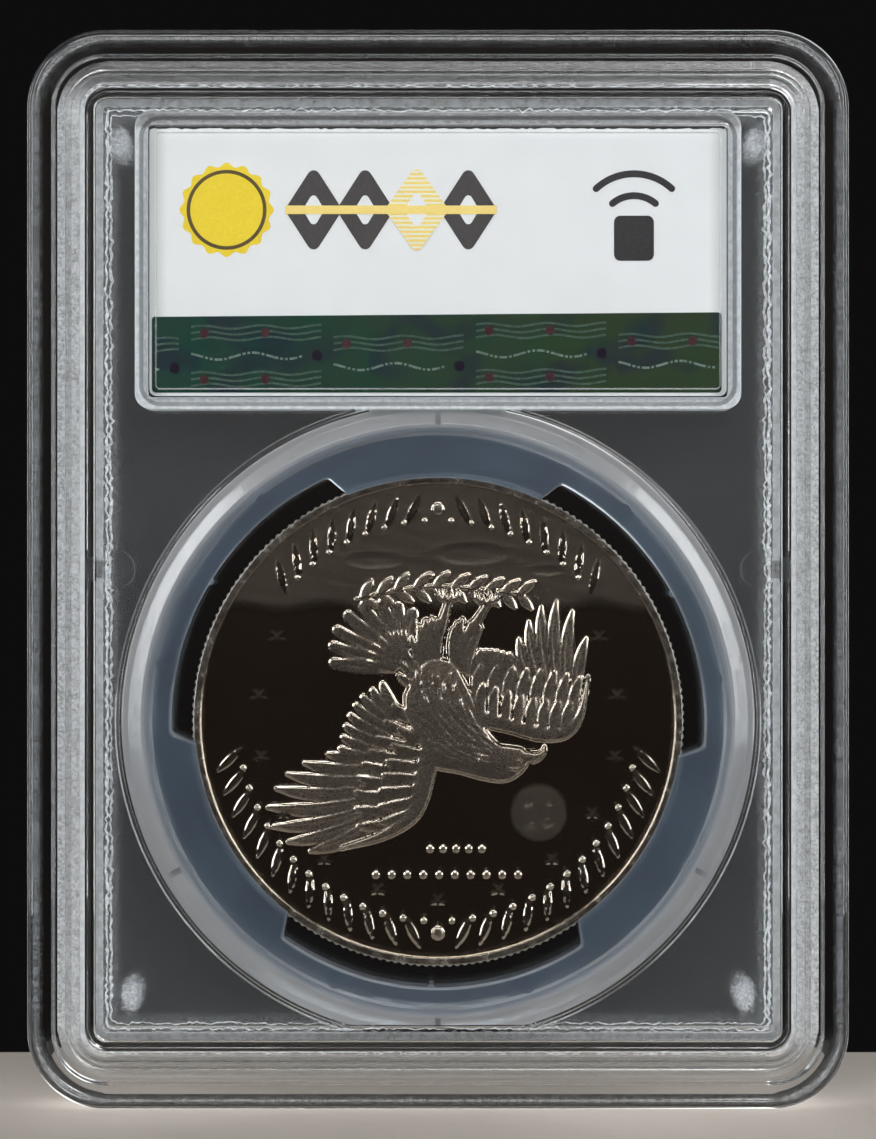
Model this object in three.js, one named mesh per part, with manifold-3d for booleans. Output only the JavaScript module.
// A graded coin slab: a dollar-sized clad coin in a translucent gasket ring and a two-sided label with a
// contactless tag, sealed between two clear polystyrene shells that are welded along their edge.
//
// Every piece is modelled lying down, in millimetres: x across the slab, y up the label end, and z towards
// the rear face, with z = 0 on the plane where the shells part. The exported group stands the slab on its
// bottom edge, so its +Z runs up the slab and its rear face looks along -Y.
import * as THREE from "three";
import { mergeVertices } from "three/addons/utils/BufferGeometryUtils.js";
import Module from "manifold-3d";

const wasm = await Module();
wasm.setup();

// ---------------------------------------------------------------- driving dimensions
const SLAB = { width: 63.2, height: 83, thickness: 8, corner: 6 };
const MIDDLE = SLAB.height / 2;
const RIM = { width: 2, rise: 0.7, fillet: 0.7, edge: 0.15, slope: 0.1 }; // the stacking lip round each face
const WINDOW = { wall: 1.4 }; // the clear plate inside the lip
const WINDOW_OUTER = SLAB.thickness / 2 - RIM.rise;
const WINDOW_INNER = WINDOW_OUTER - WINDOW.wall;
const PART_GAP = 0.03; // between faces that meet at the parting plane
const ROOT = WINDOW_INNER + 0.1; // where the walls on a window are rooted
const OVERSHOOT = 1; // how far a cutter passes what it cuts
const LAND = { inner: 3.9, tongueFrom: 2.7, tongueTo: 3.2, tongueDepth: 0.5, taper: 0.1, slack: 0.15 };
const REAR_WALL = { from: 4.35, to: 5.0, reach: 1.3 }; // locating wall round the rear shell
const FRONT_WALL = { from: 5.1, to: 5.7, reach: 1.2 }; // locating wall that nests inside it
const WELL = 5.9; // inset past which features may stand in the cavity
const WINDOW_LAP = 0.3; // how far the edge frame overlaps the window plate
const SMALLEST_CORNER = 0.4;
const CORNER_STEPS = 8;
const ROUND_STEPS = 96;
const PIN_STEPS = 24;

const LABEL_FRAME = { halfWidth: 23.4, bottom: 53.9, top: 76.9, wall: 0.9, corner: 1.2 };
const LABEL_LEDGE = { width: 0.7, height: 0.42 }; // clamps the label's edge from both sides
const LABEL = { halfWidth: 22.35, bottom: 54.95, top: 75.85, corner: 0.5, sheet: 0.24, inner: 0.1 };
const HOLOGRAM = { halfWidth: 22.1, bottom: 55.2, height: 6, from: 0.35, foil: 0.04, corner: 0.25 };
const TAG = { halfWidth: 19, bottom: 57.5, top: 73.5, film: 0.08, corner: 0.8 };
const ANTENNA = { turns: 4, pitch: 0.65, trace: 0.3, from: 0.01, foil: 0.04, margin: 0.7 };
const CHIP = { width: 1.1, height: 1.1, thickness: 0.08, gap: 0.25, shift: 0.4 };

const COIN = {
  y: 29.8,
  radius: 19.05,
  thickness: 2.58,
  clad: 0.43, // thickness of each outer layer
  rimWidth: 0.65,
  relief: 0.15,
  edge: 0.06,
};
const BOND_GAP = 0.005; // between the coin's bonded layers
const POCKET = { radius: 24.6, wall: 0.35, height: 0.7 }; // the low ridge about the gasket on each window
const GASKET = {
  radius: 24.5,
  flatAbove: 24, // the flats at its head and foot key it against the frames
  flatBelow: 23.5,
  bead: 22.4, // inner radius of the thick outer bead
  beadHalf: 1.85,
  webHalf: 1.5,
  windowRadius: 20.6, // inner radius where the coin's edge shows
  seatRadius: 19.2,
  lipRadius: 18.8,
  lipFrom: 1.36,
  lipTo: 1.46,
  cutterHalf: 3,
};
// Angles are in degrees about the coin's centre, from the slab's right side.
const GASKET_WINDOW = { count: 3, first: 28.5, outerSpan: 68, innerSpan: 77, innerRadius: 16.8, steps: 14 };
const GASKET_NOTCH = { angles: [90, 210, 330, 270], width: 0.55, length: 1.2, depth: 0.7 };

const PIN = { x: 25.1, y: MIDDLE, boss: 1.55, pin: 0.7, hole: 0.85, reach: 1.2, holeEnd: 1.6 };
const POST = { width: 1.1, height: 2.2, x: 24.6, topY: 74.4, lowX: 23.8, lowY: 8.6 };
// The gap in the locating walls beside each pin: rearTop and frontTop are how deep it goes.
const WALL_NOTCH = { height: 1.9, overlap: 0.1, rearTop: 1.3, frontTop: -0.5 };

// ---------------------------------------------------------------- materials
const clearPlastic = new THREE.MeshStandardMaterial({
  color: 0xe8edf0,
  roughness: 0.05,
  metalness: 0,
  transparent: true,
  opacity: 0.3,
});
const milkyPlastic = new THREE.MeshStandardMaterial({ color: 0xc9d3da, roughness: 0.3, metalness: 0 });
const cupronickel = new THREE.MeshStandardMaterial({ color: 0xb9b3a8, roughness: 0.12, metalness: 1 });
const copper = new THREE.MeshStandardMaterial({ color: 0xb5653a, roughness: 0.3, metalness: 1 });
const paper = new THREE.MeshStandardMaterial({ color: 0xe9eae8, roughness: 0.85, metalness: 0 });
const greenFoil = new THREE.MeshStandardMaterial({ color: 0x12523f, roughness: 0.3, metalness: 0.6 });
const clearFilm = new THREE.MeshStandardMaterial({ color: 0xdfe3e0, roughness: 0.3, metalness: 0 });
const aluminium = new THREE.MeshStandardMaterial({ color: 0xc4c6c8, roughness: 0.35, metalness: 1 });
const silicon = new THREE.MeshStandardMaterial({ color: 0x2a2a2e, roughness: 0.4, metalness: 0 });

// ---------------------------------------------------------------- helpers
// A closed geometry as a manifold-3d solid, turned the right way out.
function solidOf(geometry) {
  const bare = new THREE.BufferGeometry().setAttribute("position", geometry.getAttribute("position"));
  bare.setIndex(geometry.getIndex());
  const merged = mergeVertices(bare, 1e-4);
  const triVerts = new Uint32Array(merged.index.array);
  const vertProperties = merged.attributes.position.array;
  const made = new wasm.Manifold(new wasm.Mesh({ numProp: 3, vertProperties, triVerts }));
  if (made.volume() > 0) return made;
  for (let i = 0; i < triVerts.length; i += 3) {
    [triVerts[i + 1], triVerts[i + 2]] = [triVerts[i + 2], triVerts[i + 1]];
  }
  return new wasm.Manifold(new wasm.Mesh({ numProp: 3, vertProperties, triVerts }));
}

function meshOf(name, solid, material) {
  const { vertProperties, triVerts } = solid.getMesh();
  const geometry = new THREE.BufferGeometry();
  geometry.setAttribute("position", new THREE.BufferAttribute(vertProperties, 3));
  geometry.setIndex(new THREE.BufferAttribute(triVerts, 1));
  geometry.computeVertexNormals();
  const mesh = new THREE.Mesh(geometry, material);
  mesh.name = name;
  return mesh;
}

const union = (solids) => solids.reduce((all, next) => all.add(next));
const cut = (solid, tools) => tools.reduce((left, tool) => left.subtract(tool), solid);

// A rounded rectangle about (0, 0) as a ring of points, anticlockwise from its lower right corner.
function roundedRing(halfWidth, halfHeight, radius, steps = CORNER_STEPS) {
  const ring = [];
  for (let corner = 0; corner < 4; corner += 1) {
    const start = (corner - 1) * (Math.PI / 2);
    const centreX = (corner < 2 ? 1 : -1) * (halfWidth - radius);
    const centreY = (corner % 3 === 0 ? -1 : 1) * (halfHeight - radius);
    for (let i = 0; i <= steps; i += 1) {
      const angle = start + (i / steps) * (Math.PI / 2);
      ring.push(new THREE.Vector2(centreX + radius * Math.cos(angle), centreY + radius * Math.sin(angle)));
    }
  }
  return ring;
}

// The slab's own outline, moved inwards.
function outline(inset) {
  const radius = Math.max(SLAB.corner - inset, SMALLEST_CORNER);
  const ring = roundedRing(SLAB.width / 2 - inset, MIDDLE - inset, radius);
  return ring.map((point) => point.add(new THREE.Vector2(0, MIDDLE)));
}

function rectangle(halfWidth, bottom, top, radius, steps = 4) {
  const centre = new THREE.Vector2(0, (bottom + top) / 2);
  return roundedRing(halfWidth, (top - bottom) / 2, radius, steps).map((point) => point.add(centre));
}

function extruded(ring, from, to, holes = []) {
  const shape = new THREE.Shape(ring);
  shape.holes = holes.map((hole) => new THREE.Path(hole));
  const geometry = new THREE.ExtrudeGeometry(shape, { depth: to - from, bevelEnabled: false });
  return solidOf(geometry.translate(0, 0, from));
}

function cylinder(radius, from, to, x, y, steps = ROUND_STEPS) {
  const geometry = new THREE.CylinderGeometry(radius, radius, to - from, steps);
  return solidOf(geometry.rotateX(Math.PI / 2).translate(x, y, (from + to) / 2));
}

function box(width, height, from, to, x, y) {
  return solidOf(new THREE.BoxGeometry(width, height, to - from).translate(x, y, (from + to) / 2));
}

// A profile of [radius, z] points turned about the coin's axis.
function turned(profile) {
  const points = profile.map(([radius, z]) => new THREE.Vector2(radius, z));
  const geometry = new THREE.LatheGeometry(points, ROUND_STEPS);
  return solidOf(geometry.rotateX(Math.PI / 2).translate(0, COIN.y, 0));
}

// A closed profile of [inset, z] points carried round the slab's outline.
function sweptFrame(profile) {
  const rings = profile.map(([inset]) => outline(inset));
  const across = rings[0].length;
  const positions = rings.flatMap((ring, i) => ring.flatMap((point) => [point.x, point.y, profile[i][1]]));
  const indices = [];
  for (let i = 0; i < rings.length; i += 1) {
    const next = (i + 1) % rings.length;
    for (let j = 0; j < across; j += 1) {
      const beside = (j + 1) % across;
      const [a, b] = [i * across + j, i * across + beside];
      const [c, d] = [next * across + j, next * across + beside];
      indices.push(a, b, d, a, d, c);
    }
  }
  const geometry = new THREE.BufferGeometry();
  geometry.setAttribute("position", new THREE.Float32BufferAttribute(positions, 3));
  geometry.setIndex(indices);
  return solidOf(geometry);
}

function arc(centreInset, centreZ, radius, fromAngle, toAngle, steps) {
  return Array.from({ length: steps + 1 }, (_, i) => {
    const angle = THREE.MathUtils.degToRad(fromAngle + ((toAngle - fromAngle) * i) / steps);
    return [centreInset + radius * Math.cos(angle), centreZ + radius * Math.sin(angle)];
  });
}

// ---------------------------------------------------------------- shells
// The face of a shell's edge: outer wall, filleted stacking lip and the step down to the window.
function lipProfile() {
  const top = SLAB.thickness / 2;
  return [
    ...arc(RIM.fillet, top - RIM.fillet, RIM.fillet, 180, 90, 5),
    ...arc(RIM.width - RIM.edge, top - RIM.edge, RIM.edge, 90, 0, 2),
    [RIM.width + RIM.slope, WINDOW_OUTER + RIM.edge],
    [RIM.width + RIM.slope + RIM.edge, WINDOW_OUTER],
    [WELL + WINDOW_LAP, WINDOW_OUTER],
    [WELL + WINDOW_LAP, WINDOW_INNER],
  ];
}

// The rear shell's underside: locating wall, moat and weld land with its energy-director tongue.
function rearUnderside() {
  return [
    [REAR_WALL.to, WINDOW_INNER],
    [REAR_WALL.to, -REAR_WALL.reach],
    [REAR_WALL.from, -REAR_WALL.reach],
    [REAR_WALL.from, WINDOW_INNER],
    [LAND.inner, WINDOW_INNER],
    [LAND.inner, PART_GAP],
    [LAND.tongueTo, PART_GAP],
    [LAND.tongueTo - LAND.taper, -LAND.tongueDepth],
    [LAND.tongueFrom + LAND.taper, -LAND.tongueDepth],
    [LAND.tongueFrom, PART_GAP],
    [0, PART_GAP],
  ];
}

// The front shell's, with the groove that takes that tongue.
function frontUnderside() {
  const floor = LAND.tongueDepth + 2 * LAND.slack;
  return [
    [FRONT_WALL.to, WINDOW_INNER],
    [FRONT_WALL.to, -FRONT_WALL.reach],
    [FRONT_WALL.from, -FRONT_WALL.reach],
    [FRONT_WALL.from, WINDOW_INNER],
    [LAND.inner, WINDOW_INNER],
    [LAND.inner, PART_GAP],
    [LAND.tongueTo + LAND.slack, PART_GAP],
    [LAND.tongueTo + LAND.slack, floor],
    [LAND.tongueFrom - LAND.slack, floor],
    [LAND.tongueFrom - LAND.slack, PART_GAP],
    [0, PART_GAP],
  ];
}

const windowPlate = () => extruded(outline(WELL), WINDOW_INNER, WINDOW_OUTER);

// The wall that frames the label and the ledge inside it that clamps the label's edge.
function labelFrame() {
  const { halfWidth, bottom, top, wall, corner } = LABEL_FRAME;
  const grown = (inset) =>
    rectangle(halfWidth - inset, bottom + inset, top - inset, Math.max(corner - inset, SMALLEST_CORNER));
  return union([
    extruded(grown(0), PART_GAP, ROOT, [grown(wall)]),
    extruded(grown(wall / 2), LABEL_LEDGE.height, ROOT, [grown(wall + LABEL_LEDGE.width)]),
  ]);
}

// The ridge about the gasket, trimmed where it meets the frame and the label's frame.
function coinPocket() {
  const [from, to] = [-OVERSHOOT, ROOT + OVERSHOOT];
  const foot = WINDOW_INNER - POCKET.height;
  const labelWall = LABEL_FRAME.bottom + LABEL_FRAME.wall / 2;
  const above = SLAB.height - labelWall;
  const wall = cut(cylinder(POCKET.radius + POCKET.wall, foot, ROOT, 0, COIN.y), [
    cylinder(POCKET.radius, from, to, 0, COIN.y),
    box(SLAB.width, above, from, to, 0, labelWall + above / 2),
  ]);
  return wall.intersect(extruded(outline(WELL), from, to));
}

function cornerPosts() {
  const spots = [-1, 1].flatMap((side) => [
    [side * POST.x, POST.topY],
    [side * POST.lowX, POST.lowY],
  ]);
  return spots.map(([x, y]) => box(POST.width, POST.height, PART_GAP, ROOT, x, y));
}

// Everything that both shells have, with z running outwards from the parting plane.
function shellBlank(underside) {
  const features = [windowPlate(), labelFrame(), coinPocket(), ...cornerPosts()];
  return union([sweptFrame([...lipProfile(), ...underside]), ...features]);
}

// Two cylinders, one at each pin.
const atPins = (radius, from, to) =>
  [-1, 1].map((side) => cylinder(radius, from, to, side * PIN.x, PIN.y, PIN_STEPS));

function pinBosses() {
  const well = extruded(outline(WELL), -OVERSHOOT, ROOT + OVERSHOOT);
  return atPins(PIN.boss, PART_GAP, ROOT).map((boss) => boss.intersect(well));
}

// The short gaps in a locating wall beside the pins.
function wallNotches(wall, to) {
  const from = -wall.reach - OVERSHOOT;
  const middle = SLAB.width / 2 - (wall.from + wall.to) / 2;
  const width = wall.to - wall.from + WALL_NOTCH.overlap;
  return [-1, 1].map((side) => box(width, WALL_NOTCH.height, from, to, side * middle, PIN.y));
}

function rearShell() {
  const blank = union([shellBlank(rearUnderside()), ...pinBosses()]);
  const sockets = atPins(PIN.hole, -OVERSHOOT, PIN.holeEnd);
  return cut(blank, [...sockets, ...wallNotches(REAR_WALL, WALL_NOTCH.rearTop)]);
}

function frontShell() {
  const pins = atPins(PIN.pin, -PIN.reach, ROOT);
  const blank = union([shellBlank(frontUnderside()), ...pinBosses(), ...pins]);
  return cut(blank, wallNotches(FRONT_WALL, WALL_NOTCH.frontTop)).mirror([0, 0, 1]);
}

// ---------------------------------------------------------------- gasket
// The gasket's section with its prongs running all the way round: thick rounded bead, web and lipped seat.
function gasketBlank() {
  const half = [
    [GASKET.seatRadius, 0],
    [GASKET.seatRadius, GASKET.lipFrom],
    [GASKET.lipRadius, GASKET.lipFrom],
    [GASKET.lipRadius, GASKET.lipTo],
    [GASKET.lipRadius + 0.1, GASKET.webHalf],
    [GASKET.bead, GASKET.webHalf],
    [GASKET.bead + 0.35, GASKET.beadHalf],
    [GASKET.radius - 0.6, GASKET.beadHalf],
    [GASKET.radius - 0.18, GASKET.beadHalf - 0.25],
    [GASKET.radius, GASKET.beadHalf - 0.8],
  ];
  const lower = half.slice(1).map(([radius, z]) => [radius, -z]).reverse();
  return turned([...half, ...lower, half[0]]);
}

const polar = (radius, degrees) => {
  const angle = THREE.MathUtils.degToRad(degrees);
  return new THREE.Vector2(radius * Math.cos(angle), COIN.y + radius * Math.sin(angle));
};

// One window between two prongs: wider at the coin than at its outer corners.
function gasketWindow(middle) {
  const { outerSpan, innerSpan, innerRadius, steps } = GASKET_WINDOW;
  const outer = Array.from({ length: steps + 1 }, (_, i) =>
    polar(GASKET.windowRadius, middle + outerSpan * (i / steps - 0.5)),
  );
  const inner = [polar(innerRadius, middle + innerSpan / 2), polar(innerRadius, middle - innerSpan / 2)];
  return extruded([...outer, ...inner], -GASKET.cutterHalf, GASKET.cutterHalf);
}

function gasketNotch(degrees) {
  const outer = polar(GASKET.radius, degrees);
  const turn = THREE.MathUtils.degToRad(degrees);
  const { length, width, depth } = GASKET_NOTCH;
  return [-1, 1].map((side) => {
    const geometry = new THREE.BoxGeometry(2 * length, width, 2 * depth);
    return solidOf(geometry.rotateZ(turn).translate(outer.x, outer.y, side * GASKET.beadHalf));
  });
}

function coinGasket() {
  const windows = Array.from({ length: GASKET_WINDOW.count }, (_, i) =>
    gasketWindow(GASKET_WINDOW.first + i * (360 / GASKET_WINDOW.count)),
  );
  const flat = (y) => box(GASKET.radius, 2 * OVERSHOOT, -GASKET.cutterHalf, GASKET.cutterHalf, 0, y);
  const flats = [
    flat(COIN.y + GASKET.flatAbove + OVERSHOOT),
    flat(COIN.y - GASKET.flatBelow - OVERSHOOT),
  ];
  return cut(gasketBlank(), [...windows, ...flats, ...GASKET_NOTCH.angles.flatMap(gasketNotch)]);
}

// ---------------------------------------------------------------- coin
const CORE_HALF = COIN.thickness / 2 - COIN.clad;

function coinCore() {
  return turned([
    [0, -CORE_HALF],
    [COIN.radius, -CORE_HALF],
    [COIN.radius, CORE_HALF],
    [0, CORE_HALF],
  ]);
}

// One clad layer, with the raised rim on its struck face. side is 1 for the reverse and -1 for the obverse.
function cladLayer(side) {
  const face = COIN.thickness / 2;
  const inner = CORE_HALF + BOND_GAP;
  const layer = turned([
    [0, inner],
    [COIN.radius, inner],
    [COIN.radius, face - COIN.edge],
    [COIN.radius - COIN.edge, face],
    [COIN.radius - COIN.rimWidth, face],
    [COIN.radius - COIN.rimWidth - COIN.edge, face - COIN.relief],
    [0, face - COIN.relief],
  ]);
  return side > 0 ? layer : layer.mirror([0, 0, 1]);
}

// ---------------------------------------------------------------- label and tag
const labelSheet = (from) =>
  extruded(rectangle(LABEL.halfWidth, LABEL.bottom, LABEL.top, LABEL.corner), from, from + LABEL.sheet);

function hologramStrip() {
  const { halfWidth, bottom, height, from, foil, corner } = HOLOGRAM;
  return extruded(rectangle(halfWidth, bottom, bottom + height, corner), from, from + foil);
}

const tagFilm = () => extruded(rectangle(TAG.halfWidth, TAG.bottom, TAG.top, TAG.corner), -TAG.film, 0);

// The antenna: one flat trace wound inwards in square turns, from the outside end to the chip's pad.
function antennaCoil() {
  const middle = (TAG.bottom + TAG.top) / 2;
  const halfWidth = TAG.halfWidth - ANTENNA.margin;
  const halfHeight = (TAG.top - TAG.bottom) / 2 - ANTENNA.margin;
  const edge = (shift) => {
    const line = [];
    for (let turn = 0; turn < ANTENNA.turns; turn += 1) {
      const inset = turn * ANTENNA.pitch + shift;
      const next = inset + ANTENNA.pitch;
      line.push(new THREE.Vector2(halfWidth - inset, middle + halfHeight - inset));
      line.push(new THREE.Vector2(-halfWidth + inset, middle + halfHeight - inset));
      line.push(new THREE.Vector2(-halfWidth + inset, middle - halfHeight + inset));
      line.push(new THREE.Vector2(halfWidth - next, middle - halfHeight + inset));
    }
    return line;
  };
  const outside = edge(0);
  const inside = edge(ANTENNA.trace);
  const tail = ANTENNA.turns * ANTENNA.pitch;
  outside.push(new THREE.Vector2(halfWidth - tail, middle));
  inside.push(new THREE.Vector2(halfWidth - tail - ANTENNA.trace, middle));
  return extruded([...outside, ...inside.reverse()], ANTENNA.from, ANTENNA.from + ANTENNA.foil);
}

function tagChip() {
  const tail = TAG.halfWidth - ANTENNA.margin - ANTENNA.turns * ANTENNA.pitch - ANTENNA.trace / 2;
  const y = (TAG.bottom + TAG.top) / 2 + CHIP.gap + CHIP.height / 2;
  return box(CHIP.width, CHIP.height, ANTENNA.from, ANTENNA.from + CHIP.thickness, tail - CHIP.shift, y);
}

// ---------------------------------------------------------------- the assembly
const slab = new THREE.Group();
slab.name = "graded_coin_slab";
slab.rotation.x = Math.PI / 2;

const shells = new THREE.Group();
shells.add(meshOf("rear_shell", rearShell(), clearPlastic));
shells.add(meshOf("front_shell", frontShell(), clearPlastic));

const label = new THREE.Group();
label.add(meshOf("rear_label", labelSheet(LABEL.inner), paper));
label.add(meshOf("front_label", labelSheet(-LABEL.inner - LABEL.sheet), paper));
label.add(meshOf("hologram_strip", hologramStrip(), greenFoil));
label.add(meshOf("tag_film", tagFilm(), clearFilm));
label.add(meshOf("tag_antenna", antennaCoil(), aluminium));
label.add(meshOf("tag_chip", tagChip(), silicon));

const coin = new THREE.Group();
coin.add(meshOf("coin_core", coinCore(), copper));
coin.add(meshOf("coin_reverse_clad", cladLayer(1), cupronickel));
coin.add(meshOf("coin_obverse_clad", cladLayer(-1), cupronickel));

slab.add(shells, label, coin, meshOf("coin_gasket", coinGasket(), milkyPlastic));

export default slab;
